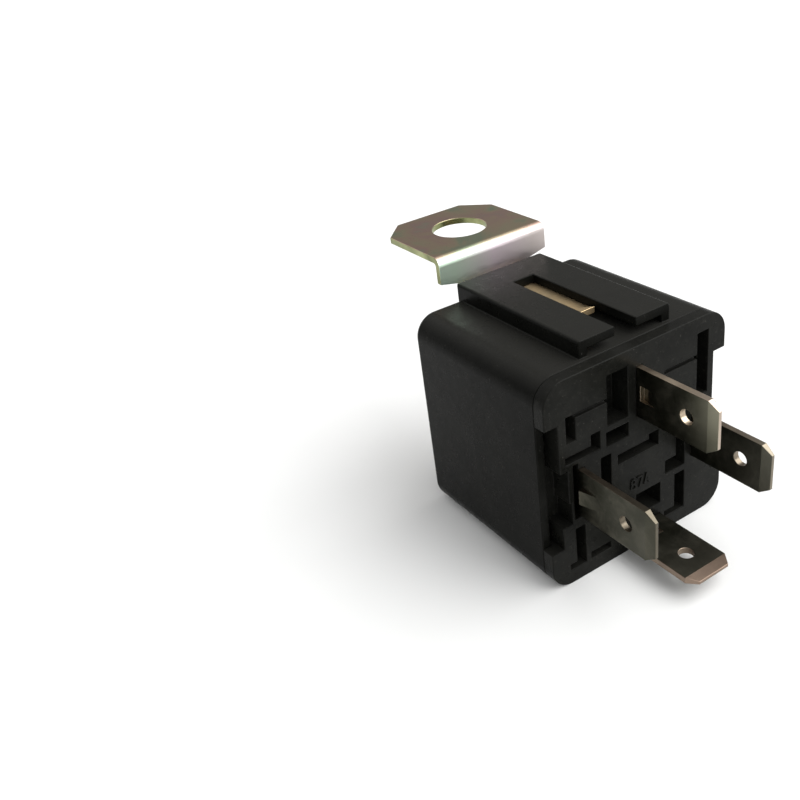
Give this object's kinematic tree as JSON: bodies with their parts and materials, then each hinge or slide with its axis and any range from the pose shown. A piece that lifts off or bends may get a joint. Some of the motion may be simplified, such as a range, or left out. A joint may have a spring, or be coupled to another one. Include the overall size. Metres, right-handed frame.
{
  "type": "automotive relay",
  "caption": "Small automotive switching relay with flat blade terminals, a hinged armature inside and a steel mounting bracket that slides into rails on its case.",
  "frame": {"origin": "centre of the flat underside of the case, halfway between the printed end and the terminal face", "axes": "+Z is the face with the bracket rails, -Y the printed end, +Y the terminals, +X to the right as the printed end is read"},
  "size_m": [0.027, 0.0517, 0.0325],
  "materials": {
    "case_plastic": "satin, finely grained",
    "base_plastic": "satin, finely grained",
    "passivated_steel": "zinc plated, with a thin yellow to green passivation",
    "tinned_brass": "dull tin over brass",
    "bobbin_plastic": "satin",
    "copper_wire": "enamelled",
    "soft_iron": "dull nickel",
    "spring_bronze": "rolled",
    "rivet_steel": "satin",
    "contact_silver": "satin",
    "solder": "bright, slightly uneven"
  },
  "bodies": {
    "housing": {"case": "case_plastic", "base": "base_plastic", "terminal_30": "tinned_brass", "terminal_87": "tinned_brass", "terminal_85": "tinned_brass", "terminal_86": "tinned_brass", "bobbin": "bobbin_plastic", "winding": "copper_wire", "core": "soft_iron", "yoke": "soft_iron", "yoke_rivets": "rivet_steel", "fixed_contact": "contact_silver", "coil_lead_85": "copper_wire", "coil_lead_86": "copper_wire", "coil_solder": "solder"},
    "armature_arm": {"armature": "soft_iron", "contact_spring": "spring_bronze", "armature_rivets": "rivet_steel", "moving_contact": "contact_silver"},
    "mounting_bracket": {"bracket": "passivated_steel"}
  },
  "joints": [
    {"name": "armature_hinge", "type": "hinge", "parent": "housing", "child": "armature_arm", "pos_m": [0, -0.00757, 0.02035], "axis": [1, 0, 0], "range_deg": [0, 4], "stiffness_Nm_per_rad": 0.01, "springref_deg": -6.88, "deforming": ["contact_spring"]},
    {"name": "bracket_slide", "type": "slide", "parent": "housing", "child": "mounting_bracket", "axis": [0, -1, 0], "range_m": [-0.0008, 0.0097]}
  ]
}
